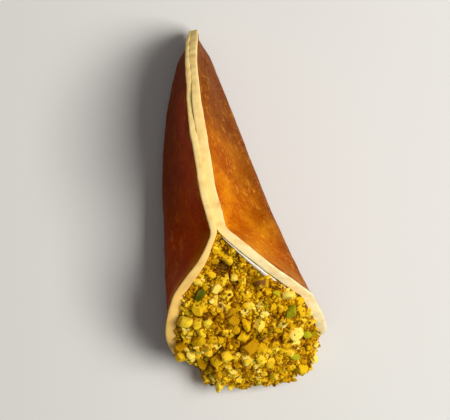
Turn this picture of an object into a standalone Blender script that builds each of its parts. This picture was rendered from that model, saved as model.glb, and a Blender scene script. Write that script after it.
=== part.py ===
"""Qatayef asafiri: one small round pancake folded into a cone and pinched shut along half of its rim,
filled with clotted cream and dipped in crushed pistachio at the open mouth.

Units are metres and +Z is up. The cone lies on its fold, with the pinched seam on top. Its tip points
to +Y and its mouth to -Y. The origin is at the bottom centre of the whole piece.

The pancake is modelled flat and then folded. A point of the flat round has a station, its distance
from the tip along the fold line, and a reach, its distance from the fold line. Folding keeps both:
every station becomes one upright cross-section, whose curve is as long as the round is wide there.
"""

import math

import bmesh
import bpy
from mathutils import Vector, noise

# The flat round
ROUND_RADIUS = 0.0375
ROUND_LENGTH = 2.0 * ROUND_RADIUS
BODY_THICKNESS = 0.0021
RIM_THICKNESS = 0.0016
THINNING_START = 0.0065
THINNING_END = 0.0032
RIM_WOBBLE = 0.009

# The folded cone
MOUTH_HALF_WIDTH = 0.0167
MOUTH_STATION = 0.0625
WIDENING_POWER = 0.78
UNDERSIDE_FLAT_SHARE = 0.28
TIP_LIFT = 0.0022
TIP_LIFT_END = 0.017
BOW = 0.0019
BOW_STATION = 0.029
LEAN = -0.07

# The pinched seam and the mouth. The left lip lets go a little later and opens faster.
LEFT, RIGHT = -1.0, 1.0
PINCH_END = {LEFT: 0.0442, RIGHT: 0.0436}
LIP_OPEN = {LEFT: 0.0615, RIGHT: 0.0630}
OPENING_ROUNDNESS = 0.25
SEAM_HEIGHT = 0.0030
SEAM_ROOT_RADIUS = 0.0025
SEAM_FADE_START = 0.040
SEAM_FADE_END = 0.058
SEAM_WAVE = 0.00025
SEAM_WAVE_LENGTH = 0.012

# The cream and the crumb coat. GAP is the clearance between neighbouring pieces.
GAP = 0.0003
CREAM_START = 0.0110
CREAM_END = 0.0715
CREAM_INSET = 0.0012
CREAM_CLEARANCE = 0.0007
CREAM_LEAST_HALF_WIDTH = 0.0008
CREAM_SIDE_SHARE = 0.8
COAT_CENTRE_SHARE = 0.52
COAT_RISE = 0.0078
COAT_TOP_SHARE = 0.5
COAT_DEPTH = 0.0030
COAT_EDGE = 0.0006
COAT_OVERHANG = 0.0036
COAT_OVERHANG_STATIONS = (0.0690, 0.0740)
COAT_INSET = 0.0006
COAT_LUMP = 0.0009
COAT_LUMP_SIZE = 0.0042
COAT_LOWEST = 0.0006

# How finely each piece is meshed
PANCAKE_CELLS = 32
COAT_CELLS = 24
CREAM_SEGMENTS, CREAM_RINGS = 24, 22
SECTION_COUNT = 300

UPRIGHT = math.pi / 2


def smooth_step(value, start, end):
    """0 before start, 1 after end, and an even S-curve between them."""
    share = min(max((value - start) / (end - start), 0.0), 1.0)
    return share * share * (3.0 - 2.0 * share)


# ---------------------------------------------------------------- the fold


def reach_at(station):
    """Length of the sheet from the fold line to the rim."""
    return math.sqrt(max(station * (ROUND_LENGTH - station), 0.0))


def thickness_at(station, reach):
    """Thickness of the pancake, which is thinner where its rim is pinched."""
    from_centre = math.hypot(station - ROUND_RADIUS, reach)
    share = smooth_step(from_centre, ROUND_RADIUS - THINNING_START, ROUND_RADIUS - THINNING_END)
    return BODY_THICKNESS + (RIM_THICKNESS - BODY_THICKNESS) * share


CLOSED_HALF_GAP = (RIM_THICKNESS + GAP) / 2.0


def half_width_at(station):
    """Half of the cone's width, measured to the sheet's mid-surface."""
    outer = MOUTH_HALF_WIDTH * (max(station, 0.0) / MOUTH_STATION) ** WIDENING_POWER
    return max(outer - BODY_THICKNESS / 2.0, CLOSED_HALF_GAP)


def lip_offset_at(station, side):
    """Distance of a lip from the middle plane: a hairline in the seam, the full width at the mouth."""
    share = (station - PINCH_END[side]) / (LIP_OPEN[side] - PINCH_END[side])
    share = min(max(share, 0.0), 1.0)
    eased = share + OPENING_ROUNDNESS * (math.sin(share * UPRIGHT) - share)
    return CLOSED_HALF_GAP + (half_width_at(station) - CLOSED_HALF_GAP) * eased


class Section:
    """One side of a cross-section: half of the flat underside, a round belly, a straight flank that
    leans in, a concave root and an upright lip. The lean of the flank brings the lip into place."""

    def __init__(self, station, side):
        reach = reach_at(station)
        width = half_width_at(station)
        self.flat = UNDERSIDE_FLAT_SHARE * width if width > CLOSED_HALF_GAP else 0.0
        self.belly = width - self.flat
        self.lip = min(SEAM_HEIGHT, 0.3 * reach)
        self.lip *= 1.0 - smooth_step(station, SEAM_FADE_START, SEAM_FADE_END)
        self.lean = self.solve_lean(reach, lip_offset_at(station, side))
        self.flank = max(self.flank_at(reach, self.lean), 0.0)

    def flank_at(self, reach, lean):
        """Length left for the straight flank at this lean."""
        bends = self.belly * lean + SEAM_ROOT_RADIUS * (lean - UPRIGHT)
        return reach - self.flat - bends - self.lip

    def lip_at(self, reach, lean):
        """Distance of the lip from the middle plane at this lean."""
        belly = self.flat + self.belly * math.sin(lean)
        root = SEAM_ROOT_RADIUS * (1.0 - math.sin(lean))
        return belly + self.flank_at(reach, lean) * math.cos(lean) - root

    def solve_lean(self, reach, target):
        """Lean of the flank that brings the lip to the target, by halving."""
        low, high = UPRIGHT, math.pi
        if self.flank_at(reach, low) <= 0.0 or self.lip_at(reach, low) <= target:
            return low
        for _ in range(40):
            middle = (low + high) / 2.0
            if self.flank_at(reach, middle) <= 0.0 or self.lip_at(reach, middle) < target:
                high = middle
            else:
                low = middle
        return low

    def at(self, reach):
        """Offset from the middle plane, height and slope angle at this distance along the curve."""
        if reach <= self.flat:
            return reach, 0.0, 0.0
        angle = min((reach - self.flat) / self.belly, self.lean)
        across = self.flat + self.belly * math.sin(angle)
        height = self.belly * (1.0 - math.cos(angle))
        if angle < self.lean:
            return across, height, angle
        rest = reach - self.flat - self.belly * self.lean
        straight = min(rest, self.flank)
        across += straight * math.cos(self.lean)
        height += straight * math.sin(self.lean)
        rest -= straight
        turned = min(rest / SEAM_ROOT_RADIUS, self.lean - UPRIGHT)
        angle = self.lean - turned
        across -= SEAM_ROOT_RADIUS * (math.sin(angle) - math.sin(self.lean))
        height += SEAM_ROOT_RADIUS * (math.cos(angle) - math.cos(self.lean))
        return across, height + rest - turned * SEAM_ROOT_RADIUS, angle


STATIONS = [ROUND_LENGTH * i / SECTION_COUNT for i in range(SECTION_COUNT + 1)]
SECTIONS = {side: [Section(station, side) for station in STATIONS] for side in (LEFT, RIGHT)}


def section_point(station, side, reach):
    """The section curve, read between the two nearest stations."""
    place = min(max(station / ROUND_LENGTH, 0.0), 1.0) * SECTION_COUNT
    first = min(int(place), SECTION_COUNT - 1)
    before, after = (section.at(reach) for section in SECTIONS[side][first : first + 2])
    return tuple(a + (b - a) * (place - first) for a, b in zip(before, after))


def fold(station, side, reach, outward=0.0):
    """Place in space of a point of the flat round. outward is its distance from the sheet's
    mid-surface, towards the browned side."""
    across, height, angle = section_point(station, side, reach)
    across += outward * math.sin(angle)
    lift = TIP_LIFT * (1.0 - min(max(station / TIP_LIFT_END, 0.0), 1.0)) ** 2
    z = height - outward * math.cos(angle) + BODY_THICKNESS / 2.0 + lift
    bow = BOW * ((station - BOW_STATION) / (MOUTH_STATION - BOW_STATION)) ** 2
    wave = SEAM_WAVE * math.sin(station / SEAM_WAVE_LENGTH * math.tau) * smooth_step(z, 0.010, 0.024)
    return Vector((side * across + bow + LEAN * z + wave, -station, z))


# ---------------------------------------------------------------- round sheets


def square_to_disc(a, b):
    """Place on the unit disc of a point of the square, with cells that stay nearly square."""
    if max(abs(a), abs(b)) < 1e-9:
        return 0.0, 0.0
    if abs(a) >= abs(b):
        return a * math.cos(math.pi / 4 * b / a), a * math.sin(math.pi / 4 * b / a)
    return b * math.sin(math.pi / 4 * a / b), b * math.cos(math.pi / 4 * a / b)


def double_disc(cells):
    """Two unit discs of quads at z = 1 and z = -1, joined at the edge by a band with a middle ring."""
    shape = bmesh.new()
    bmesh.ops.create_grid(shape, x_segments=cells, y_segments=cells, size=1.0)
    for vertex in shape.verts:
        vertex.co = Vector((*square_to_disc(vertex.co.x, vertex.co.y), 1.0))
    copied = bmesh.ops.duplicate(shape, geom=shape.verts[:] + shape.edges[:] + shape.faces[:])["geom"]
    for vertex in (item for item in copied if isinstance(item, bmesh.types.BMVert)):
        vertex.co.z = -1.0
    edges = [edge for edge in shape.edges if edge.is_boundary]
    band = bmesh.ops.bridge_loops(shape, edges=edges)["faces"]
    struts = {edge for face in band for edge in face.edges if edge.verts[0].co.z * edge.verts[1].co.z < 0.0}
    bmesh.ops.subdivide_edges(shape, edges=list(struts), cuts=1, use_grid_fill=True)
    return shape


def closed_object(shape, name):
    """An object of a closed shape, with its faces pointing out."""
    bmesh.ops.recalc_face_normals(shape, faces=shape.faces)
    if shape.calc_volume(signed=True) < 0.0:
        bmesh.ops.reverse_faces(shape, faces=shape.faces)
    mesh = bpy.data.meshes.new(name)
    shape.to_mesh(mesh)
    shape.free()
    mesh.shade_smooth()
    return bpy.data.objects.new(name, mesh)


# ---------------------------------------------------------------- the pancake


def rim_wobble(angle):
    """The poured round isn't a true circle. It is even at the tip, where its two lips end."""
    waves = math.sin(3 * angle + 0.6) + 0.6 * math.sin(7 * angle) + 0.4 * math.sin(11 * angle + 2.0)
    return RIM_WOBBLE * waves * smooth_step(math.cos(angle), -0.95, -0.5)


def folded_round(name, room=0.0):
    """The pancake as one closed sheet with a round rim. room thickens it for the clearance that the
    coat keeps, except in the shut seam, where the coat doesn't reach."""
    shape = double_disc(PANCAKE_CELLS)
    for vertex in shape.verts:
        x, y, level = vertex.co
        size = (ROUND_RADIUS - RIM_THICKNESS / 2.0) * (1.0 + rim_wobble(math.atan2(y, x)) * math.hypot(x, y))
        if abs(level) < 0.5:
            size += RIM_THICKNESS / 2.0 + room
        station, reach = ROUND_RADIUS + x * size, y * size
        extra = room * smooth_step(station, PINCH_END[RIGHT], PINCH_END[LEFT] + 0.001)
        outward = -level * (thickness_at(station, reach) / 2.0 + extra)
        vertex.co = fold(station, LEFT if reach < 0.0 else RIGHT, abs(reach), outward)
    return closed_object(shape, name)


# ---------------------------------------------------------------- the crumb coat

MOUTH_TOP = fold(PINCH_END[RIGHT], RIGHT, reach_at(PINCH_END[RIGHT])) * Vector((0.0, 1.0, 1.0))
MOUTH_FOOT = fold(ROUND_LENGTH, RIGHT, 0.0)
MOUTH_DOWN = (MOUTH_FOOT - MOUTH_TOP).normalized()
MOUTH_SIDE = Vector((1.0, 0.0, 0.0))
MOUTH_OUT = MOUTH_DOWN.cross(MOUTH_SIDE)
MOUTH_CENTRE = MOUTH_TOP.lerp(MOUTH_FOOT, COAT_CENTRE_SHARE)
LIP_STEPS = 160


def turn_of(point):
    """Angle of a point about the mouth's centre: 0 at the top, positive to the right."""
    offset = point - MOUTH_CENTRE
    return math.atan2(offset.dot(MOUTH_SIDE), -offset.dot(MOUTH_DOWN))


def lip_loop():
    """Points along the inner edge of both lips, as (turn, point, station) in order of turn."""
    loop = []
    for side in (LEFT, RIGHT):
        for i in range(LIP_STEPS + 1):
            station = PINCH_END[side] + (ROUND_LENGTH - PINCH_END[side]) * math.sin(UPRIGHT * i / LIP_STEPS)
            inward = -thickness_at(station, reach_at(station)) / 2.0
            point = fold(station, side, reach_at(station), inward)
            loop.append((turn_of(point), point, station))
    return sorted(loop, key=lambda entry: entry[0])


LIP_LOOP = lip_loop()


def lip_at_turn(turn):
    """Lip point and station at an angle about the mouth's centre."""
    before = LIP_LOOP[0]
    for after in LIP_LOOP:
        if after[0] >= turn:
            share = (turn - before[0]) / max(after[0] - before[0], 1e-9)
            return before[1].lerp(after[1], share), before[2] + (after[2] - before[2]) * share
        before = after
    return before[1], before[2]


def coat_border(turn, room):
    """Edge of the coat: just inside the lips, and hanging over them at the foot of the mouth."""
    lip, station = lip_at_turn(turn)
    hanging = smooth_step(station, *COAT_OVERHANG_STATIONS)
    level = ((lip - MOUTH_CENTRE) * Vector((1.0, 1.0, 0.0))).normalized()
    border = lip + level * (COAT_OVERHANG * hanging - COAT_INSET * (1.0 - hanging) + room)
    border.z = max(border.z, COAT_LOWEST + COAT_EDGE)
    return border


def crumb_mound(name, room=0.0):
    """The coat over the mouth: a dome outside the lips, lower at the top of the mouth, and a shallow
    one behind them. room swells it for the clearance that the cream keeps."""
    shape = double_disc(COAT_CELLS)
    for vertex in shape.verts:
        x, y, level = vertex.co
        spread = min(math.hypot(x, y), 1.0)
        border = coat_border(math.atan2(x, y), room)
        place = MOUTH_CENTRE.lerp(border, spread)
        if level > 0.5:
            rise = COAT_RISE * (1.0 - (1.0 - COAT_TOP_SHARE) * smooth_step(y, -0.1, 0.9))
            place += MOUTH_OUT * (COAT_EDGE + room + rise * math.sqrt(max(1.0 - spread**2.4, 0.0)))
            coarse = noise.noise(place / COAT_LUMP_SIZE)
            fine = noise.noise(place / COAT_LUMP_SIZE * 2.2)
            away = (place - MOUTH_CENTRE).normalized()
            place += away * COAT_LUMP * (coarse + 0.5 * fine)
        elif level < -0.5:
            place -= MOUTH_OUT * (COAT_EDGE + room + COAT_DEPTH * math.sqrt(max(1.0 - spread**2, 0.0)))
        place.z = max(place.z, COAT_LOWEST)
        vertex.co = place
    return closed_object(shape, name)


# ---------------------------------------------------------------- the cream


def cream_wall(station, side, reach):
    """Point of the cream that lies against the sheet's inner face."""
    return fold(station, side, reach, -(BODY_THICKNESS / 2.0 + CREAM_CLEARANCE))


def cream_reach(station, side):
    """Distance along the section where the cream leaves the sheet: under the seam or at the lip."""
    low, high = 0.0, max(reach_at(station) - CREAM_INSET, 0.0)
    wall = BODY_THICKNESS / 2.0 + CREAM_CLEARANCE
    for _ in range(30):
        middle = (low + high) / 2.0
        across, _, angle = section_point(station, side, middle)
        narrow = angle > UPRIGHT and across - wall * math.sin(angle) < CREAM_LEAST_HALF_WIDTH
        low, high = (low, middle) if narrow else (middle, high)
    return low


def cream_body(name):
    """Cream that fills the cone: a ball drawn out along the fold, with each ring laid against the
    sheet's inner face and closed over at the top."""
    shape = bmesh.new()
    bmesh.ops.create_uvsphere(shape, u_segments=CREAM_SEGMENTS, v_segments=CREAM_RINGS, radius=1.0)
    for vertex in shape.verts:
        x, y, z = vertex.co
        along = math.acos(min(max(z, -1.0), 1.0)) / math.pi
        station = CREAM_START + (CREAM_END - CREAM_START) * along
        turn = abs(math.atan2(x, -y)) / math.pi
        side = LEFT if x < 0.0 else RIGHT
        ends = [cream_wall(station, s, cream_reach(station, s)) for s in (LEFT, RIGHT)]
        top = ends[0].lerp(ends[1], 0.5)
        if turn <= CREAM_SIDE_SHARE:
            place = cream_wall(station, side, cream_reach(station, side) * turn / CREAM_SIDE_SHARE)
        else:
            end = ends[0] if side == LEFT else ends[1]
            place = end.lerp(top, (turn - CREAM_SIDE_SHARE) / (1.0 - CREAM_SIDE_SHARE))
        core = cream_wall(station, side, 0.0).lerp(top, 0.5)
        vertex.co = core.lerp(place, math.sqrt(max(1.0 - (2.0 * along - 1.0) ** 6, 0.0)))
    return closed_object(shape, name)


# ---------------------------------------------------------------- putting it together


def principled(name, colour, roughness):
    """A plain material for one piece."""
    material = bpy.data.materials.new(name)
    material.use_nodes = True
    shader = material.node_tree.nodes["Principled BSDF"]
    shader.inputs["Base Color"].default_value = (*colour, 1.0)
    shader.inputs["Roughness"].default_value = roughness
    shader.inputs["Metallic"].default_value = 0.0
    return material


def new_collection(name, objects):
    """A collection of the scene that holds these objects."""
    made = bpy.data.collections.new(name)
    bpy.context.scene.collection.children.link(made)
    for item in objects:
        made.objects.link(item)
    return made


def cut(target, cutter):
    """Takes the cutter's shape out of the target."""
    modifier = target.modifiers.new(f"less {cutter.name}", "BOOLEAN")
    modifier.operation = "DIFFERENCE"
    modifier.solver = "EXACT"
    modifier.object = cutter
    cutter.hide_render = True
    cutter.display_type = "WIRE"


def stand_on_origin(outer_pieces, objects):
    """Moves all objects so that the outer pieces' common box stands centred on the origin."""
    points = [vertex.co for piece in outer_pieces for vertex in piece.data.vertices]
    low = [min(point[axis] for point in points) for axis in range(3)]
    high = [max(point[axis] for point in points) for axis in range(3)]
    for item in objects:
        item.location = Vector(((low[0] + high[0]) / -2.0, (low[1] + high[1]) / -2.0, -low[2]))


for leftover in list(bpy.data.objects):
    bpy.data.objects.remove(leftover)

pancake = folded_round("pancake")
cream = cream_body("cream")
coat = crumb_mound("pistachio_coat")
pancake.data.materials.append(principled("browned pancake", (0.50, 0.15, 0.02), 0.5))
cream.data.materials.append(principled("clotted cream", (0.86, 0.82, 0.72), 0.45))
coat.data.materials.append(principled("crushed pistachio", (0.46, 0.33, 0.02), 0.8))

pancake_room = folded_round("pancake_room", GAP)
coat_room = crumb_mound("coat_room", GAP)
cut(coat, pancake_room)
cut(cream, pancake_room)
cut(cream, coat_room)

pieces, cutters = (pancake, cream, coat), (pancake_room, coat_room)
new_collection("qatayef", pieces)
new_collection("cutters", cutters)
stand_on_origin((pancake, coat), pieces + cutters)
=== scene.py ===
"""A small filled qatayef: a pancake pinched into a cone, filled with cream and dipped in pistachio."""

import itertools
import math
import random

import bmesh
import bpy
from mathutils import Matrix, Quaternion, Vector, noise
from mathutils.bvhtree import BVHTree


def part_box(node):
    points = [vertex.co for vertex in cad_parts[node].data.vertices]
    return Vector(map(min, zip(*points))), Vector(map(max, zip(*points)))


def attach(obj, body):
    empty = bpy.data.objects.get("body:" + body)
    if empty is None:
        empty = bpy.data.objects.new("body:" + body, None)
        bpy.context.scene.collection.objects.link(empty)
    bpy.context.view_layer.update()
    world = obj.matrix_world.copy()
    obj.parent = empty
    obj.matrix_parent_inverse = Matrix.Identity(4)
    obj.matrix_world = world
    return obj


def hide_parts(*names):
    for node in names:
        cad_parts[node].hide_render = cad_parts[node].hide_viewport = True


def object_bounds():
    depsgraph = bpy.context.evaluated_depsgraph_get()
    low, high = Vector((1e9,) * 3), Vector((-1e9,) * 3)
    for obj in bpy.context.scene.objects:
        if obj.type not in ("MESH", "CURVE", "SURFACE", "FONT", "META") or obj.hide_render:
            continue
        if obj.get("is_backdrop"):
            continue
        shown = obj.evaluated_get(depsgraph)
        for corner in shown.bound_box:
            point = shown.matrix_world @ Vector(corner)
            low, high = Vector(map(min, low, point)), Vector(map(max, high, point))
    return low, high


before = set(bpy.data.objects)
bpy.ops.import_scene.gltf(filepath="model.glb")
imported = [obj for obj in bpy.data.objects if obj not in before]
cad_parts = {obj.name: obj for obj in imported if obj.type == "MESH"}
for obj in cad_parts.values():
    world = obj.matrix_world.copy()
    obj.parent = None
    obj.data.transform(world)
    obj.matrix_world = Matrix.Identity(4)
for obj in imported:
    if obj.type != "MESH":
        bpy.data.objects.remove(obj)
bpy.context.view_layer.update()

# ---------------------------------------------------------------- Pancake
# A thin round of yeast batter, griddled on one side only, so its inner face and its rim stay pale.
# It is folded with the browned side out, and the sticky rim is pinched shut from the tip half way
# down. A point of the round keeps its station along the fold and its reach from the fold.

ROUND_RADIUS = 0.0375
ROUND_LENGTH = 2.0 * ROUND_RADIUS
BODY_THICKNESS = 0.0021
RIM_THICKNESS = 0.0017
THINNING_START = 0.0065
THINNING_END = 0.0032

MOUTH_HALF_WIDTH = 0.0170
MOUTH_STATION = 0.067
WIDENING_POWER = 0.66
WAIST = 0.00055
WAIST_STATION = 0.045
WAIST_SPREAD = 0.024
UNDERSIDE_FLAT_SHARE = 0.28
MOUTH_FLAT_SHARE = 0.44
MOUTH_FULLNESS = 0.10
MOUTH_FULLNESS_STATION = 0.0685
MOUTH_FULLNESS_SPREAD = 0.0090
TIP_LIFT = 0.0022
TIP_LIFT_END = 0.017
TIP_BOW = 0.0024
MOUTH_BOW = 0.0023
BOW_STATION = 0.026
LEAN = -0.02
UPPER_PART = (0.010, 0.024)

LEFT, RIGHT = -1.0, 1.0
PINCH_END = {LEFT: 0.0442, RIGHT: 0.0436}
PARTING = (-0.001, 0.008)
FLATTENING_LEAD = 0.006
LIP_OPEN = {LEFT: 0.0660, RIGHT: 0.0620}
OPENING_ROUNDNESS = {LEFT: 0.95, RIGHT: 0.25}
LEFT_ELBOW = 0.0012
LEFT_ELBOW_STATION = 0.0512
LEFT_ELBOW_SPREAD = 0.0064
SPLIT_ROUNDING = 0.0010
LIP_OVERLAP = 0.00012
CLOSED_HALF_GAP = (RIM_THICKNESS - LIP_OVERLAP) / 2.0
PINCH_LIFT = {LEFT: 0.0020, RIGHT: 0.0008}
PINCH_LIFT_STATION = 0.0480
PINCH_LIFT_SPREAD = 0.0085
SEAM_HEIGHT = 0.0030
SEAM_REACH_SHARE = 0.3
SEAM_ROOT_RADIUS = 0.0025
SEAM_FADE = (0.040, 0.058)
SEAM_WANDER = 0.00055
SEAM_WANDER_LENGTH = 0.011
SEAM_LINE_LEFT = 0.00036
SEAM_LINE_WANDER = 0.00030
SEAM_LINE_WANDER_LENGTH = 0.0075

SECTION_COUNT = 300
HALVINGS = 40
WIDTH_SAMPLES = 40
PANCAKE_CELLS = 160
RIM_RINGS = 7
DISC_LEVEL = 0.99
UPRIGHT = math.pi / 2

RIM_WOBBLE = 0.009
RIM_WAVES = ((3, 1.0, 0.6), (7, 0.6, 0.0), (11, 0.4, 2.0))
RIM_WAVES_START = (-0.95, -0.5)
RIM_BULGE = 0.00045
RIM_SQUARENESS = 0.6
INNER_RIM_SQUARENESS = 0.6 * RIM_SQUARENESS
RIM_RAG = 0.00016
RIM_RAG_SIZE = 0.0019
RIM_RAG_WIDTH = 0.0024
TIP_LIP_OUTER = 0.00050
TIP_LIP_START = (-0.0015, 0.0040)
SEAM_LIP_OUTER = 0.00098
SEAM_LIP_START = (0.008, 0.026)
MOUTH_LIP_OUTER = 0.00140
MOUTH_LIP_INNER = 0.00140
LIP_SWELL = 0.28
LIP_SWELL_LENGTH = 0.0068
LEFT_LIP_THIN = 0.6
LEFT_LIP_THIN_STATION = 0.0485
LEFT_LIP_THIN_SPREAD = 0.0055
FOOT_LIP_THIN = {LEFT: 0.5, RIGHT: 0.3}
FOOT_LIP_START = (0.0590, 0.0680)
CRUST_SWELLS = ((0.00016, 0.0075), (0.00010, 0.0032), (0.00005, 0.0012))
DENT_SPACING = 0.0093
DENT_SIDE_SHIFT = 0.9
DENT_DEPTH = 0.00028
DENT_WIDTH = 0.0045
DENT_FALL = (0.5 * DENT_WIDTH, 1.5 * DENT_WIDTH)
DENT_RIM_MARGIN = 0.0016
DENT_START = (0.008, 0.018)
DENT_END = (0.040, 0.048)
PORE_DEPTH = 0.00018
PORE_SIZE = 0.0016
PORE_LEVEL = 0.3
PORE_START = (0.001, 0.006)


def smooth_step(value, start, end):
    """0 before start, 1 after end, and an even S-curve between them."""
    share = min(max((value - start) / (end - start), 0.0), 1.0)
    return share * share * (3.0 - 2.0 * share)


def hump(value, centre, spread):
    """1 at the centre, and an even slope down to 0 at the spread on both sides."""
    return max(1.0 - ((value - centre) / spread) ** 2, 0.0) ** 2


def drift(station, length, row, layer=0.0):
    """Slow random change along the fold, from about -1 to 1. Each row and layer has its own."""
    return noise.noise(Vector((station / length, row, layer)))


def fullness_at(station):
    """The poured round is a little square at the mouth's foot, so its rim reaches further there."""
    return 1.0 + MOUTH_FULLNESS * hump(station, MOUTH_FULLNESS_STATION, MOUTH_FULLNESS_SPREAD)


def reach_at(station):
    """Length of the sheet from the fold line to the rim."""
    return math.sqrt(max(station * (ROUND_LENGTH - station), 0.0)) * fullness_at(station)


def sheet_faces(station, from_rim, side):
    """How far the browned face and the inner face lie from the sheet's middle. Pinching has thinned
    the rim in the seam, most of all at the tip, and the two lips are never equally thick."""
    at_rim = smooth_step(from_rim, THINNING_START, THINNING_END)
    pinched = 1.0 - smooth_step(station, *(PINCH_END[side] + shift for shift in PARTING))
    outer = TIP_LIP_OUTER + (SEAM_LIP_OUTER - TIP_LIP_OUTER) * smooth_step(station, *SEAM_LIP_START)
    outer *= smooth_step(station, *TIP_LIP_START)
    outer = MOUTH_LIP_OUTER + (outer - MOUTH_LIP_OUTER) * pinched
    outer *= 1.0 + LIP_SWELL * drift(station, LIP_SWELL_LENGTH, row=side * 3.7)
    if side == LEFT:
        outer *= 1.0 - LEFT_LIP_THIN * hump(station, LEFT_LIP_THIN_STATION, LEFT_LIP_THIN_SPREAD)
    meeting = SEAM_LINE_LEFT
    meeting += SEAM_LINE_WANDER * drift(station, SEAM_LINE_WANDER_LENGTH, row=1.9, layer=3.0)
    inner = MOUTH_LIP_INNER * (1.0 - FOOT_LIP_THIN[side] * smooth_step(station, *FOOT_LIP_START))
    inner += (RIM_THICKNESS / 2.0 + side * meeting - inner) * pinched
    body = BODY_THICKNESS / 2.0
    return body + (outer - body) * at_rim, body + (inner - body) * at_rim


def half_width_at(station):
    """Half of the cone's width, measured to the sheet's mid-surface."""
    outer = MOUTH_HALF_WIDTH * min(max(station, 0.0) / MOUTH_STATION, 1.0) ** WIDENING_POWER
    outer -= WAIST * hump(station, WAIST_STATION, WAIST_SPREAD)
    return max(outer - BODY_THICKNESS / 2.0, CLOSED_HALF_GAP)


def lip_offset_at(station, side):
    """Distance of a lip from the middle plane: closed in the seam, and the full width at the mouth."""
    past = max(station - PINCH_END[side], 0.0)
    past = past**2 / (4.0 * SPLIT_ROUNDING) if past < 2.0 * SPLIT_ROUNDING else past - SPLIT_ROUNDING
    share = min(past / (LIP_OPEN[side] - PINCH_END[side] - SPLIT_ROUNDING), 1.0)
    eased = share * (1.0 + OPENING_ROUNDNESS[side] * (1.0 - share))
    offset = CLOSED_HALF_GAP + (half_width_at(station) - CLOSED_HALF_GAP) * eased
    if side == LEFT:
        offset -= LEFT_ELBOW * hump(station, LEFT_ELBOW_STATION, LEFT_ELBOW_SPREAD)
    return max(offset, CLOSED_HALF_GAP)


class Section:
    """One side of a cross-section: half of the flat underside, a round belly, a straight flank that
    leans in, a concave root and an upright lip. The lean of the flank brings the lip into place."""

    def __init__(self, station, side):
        reach = reach_at(station)
        width = half_width_at(station)
        share = smooth_step(station, PINCH_END[side] - FLATTENING_LEAD, MOUTH_STATION)
        share = UNDERSIDE_FLAT_SHARE + (MOUTH_FLAT_SHARE - UNDERSIDE_FLAT_SHARE) * share
        self.flat = share * width if width > CLOSED_HALF_GAP else 0.0
        self.belly = width - self.flat
        self.lip = min(SEAM_HEIGHT, SEAM_REACH_SHARE * reach)
        self.lip *= 1.0 - smooth_step(station, *SEAM_FADE)
        self.lean = self.solve_lean(reach, lip_offset_at(station, side))
        self.flank = max(self.flank_at(reach, self.lean), 0.0)

    def flank_at(self, reach, lean):
        """Length left for the straight flank at this lean."""
        bends = self.belly * lean + SEAM_ROOT_RADIUS * (lean - UPRIGHT)
        return reach - self.flat - bends - self.lip

    def lip_at(self, reach, lean):
        """Distance of the lip from the middle plane at this lean."""
        belly = self.flat + self.belly * math.sin(lean)
        root = SEAM_ROOT_RADIUS * (1.0 - math.sin(lean))
        return belly + self.flank_at(reach, lean) * math.cos(lean) - root

    def solve_lean(self, reach, target):
        """Lean of the flank that brings the lip to the target, by halving."""
        low, high = UPRIGHT, math.pi
        if self.flank_at(reach, low) <= 0.0 or self.lip_at(reach, low) <= target:
            return low
        for _ in range(HALVINGS):
            middle = (low + high) / 2.0
            if self.flank_at(reach, middle) <= 0.0 or self.lip_at(reach, middle) < target:
                high = middle
            else:
                low = middle
        return low

    def at(self, reach):
        """Offset from the middle plane, height and slope angle at this distance along the curve."""
        if reach <= self.flat:
            return reach, 0.0, 0.0
        angle = min((reach - self.flat) / self.belly, self.lean)
        across = self.flat + self.belly * math.sin(angle)
        height = self.belly * (1.0 - math.cos(angle))
        if angle < self.lean:
            return across, height, angle
        rest = reach - self.flat - self.belly * self.lean
        straight = min(rest, self.flank)
        across += straight * math.cos(self.lean)
        height += straight * math.sin(self.lean)
        rest -= straight
        turned = min(rest / SEAM_ROOT_RADIUS, self.lean - UPRIGHT)
        angle = self.lean - turned
        across -= SEAM_ROOT_RADIUS * (math.sin(angle) - math.sin(self.lean))
        height += SEAM_ROOT_RADIUS * (math.cos(angle) - math.cos(self.lean))
        return across, height + rest - turned * SEAM_ROOT_RADIUS, angle


STATIONS = [ROUND_LENGTH * i / SECTION_COUNT for i in range(SECTION_COUNT + 1)]
SECTIONS = {side: [Section(station, side) for station in STATIONS] for side in (LEFT, RIGHT)}


def section_point(station, side, reach):
    """The section curve, read between the two nearest stations."""
    place = min(max(station / ROUND_LENGTH, 0.0), 1.0) * SECTION_COUNT
    first = min(int(place), SECTION_COUNT - 1)
    before, after = (section.at(reach) for section in SECTIONS[side][first : first + 2])
    return tuple(a + (b - a) * (place - first) for a, b in zip(before, after))


def fold(station, side, reach, outward=0.0):
    """Place of a point of the round before the cone is seated. outward is its distance from the
    sheet's mid-surface, towards the browned side."""
    across, height, angle = section_point(station, side, reach)
    across += outward * math.sin(angle)
    lift = TIP_LIFT * (1.0 - min(max(station / TIP_LIFT_END, 0.0), 1.0)) ** 2
    z = height - outward * math.cos(angle) + BODY_THICKNESS / 2.0 + lift
    near = hump(station, PINCH_LIFT_STATION, PINCH_LIFT_SPREAD)
    z += PINCH_LIFT[side] * near * smooth_step(z, *UPPER_PART)
    if station < BOW_STATION:
        bow = TIP_BOW * (1.0 - station / BOW_STATION) ** 2
    else:
        bow = MOUTH_BOW * ((station - BOW_STATION) / (MOUTH_STATION - BOW_STATION)) ** 2
    wander = SEAM_WANDER * drift(station, SEAM_WANDER_LENGTH, row=0.4, layer=7.0)
    wander *= smooth_step(z, *UPPER_PART)
    return Vector((side * across + bow + LEAN * z + wander, -station, z))


def square_to_disc(a, b):
    """Place on the unit disc of a point of the square, with cells that stay nearly square."""
    if max(abs(a), abs(b)) < 1e-9:
        return 0.0, 0.0
    if abs(a) >= abs(b):
        return a * math.cos(math.pi / 4 * b / a), a * math.sin(math.pi / 4 * b / a)
    return b * math.sin(math.pi / 4 * a / b), b * math.cos(math.pi / 4 * a / b)


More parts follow.
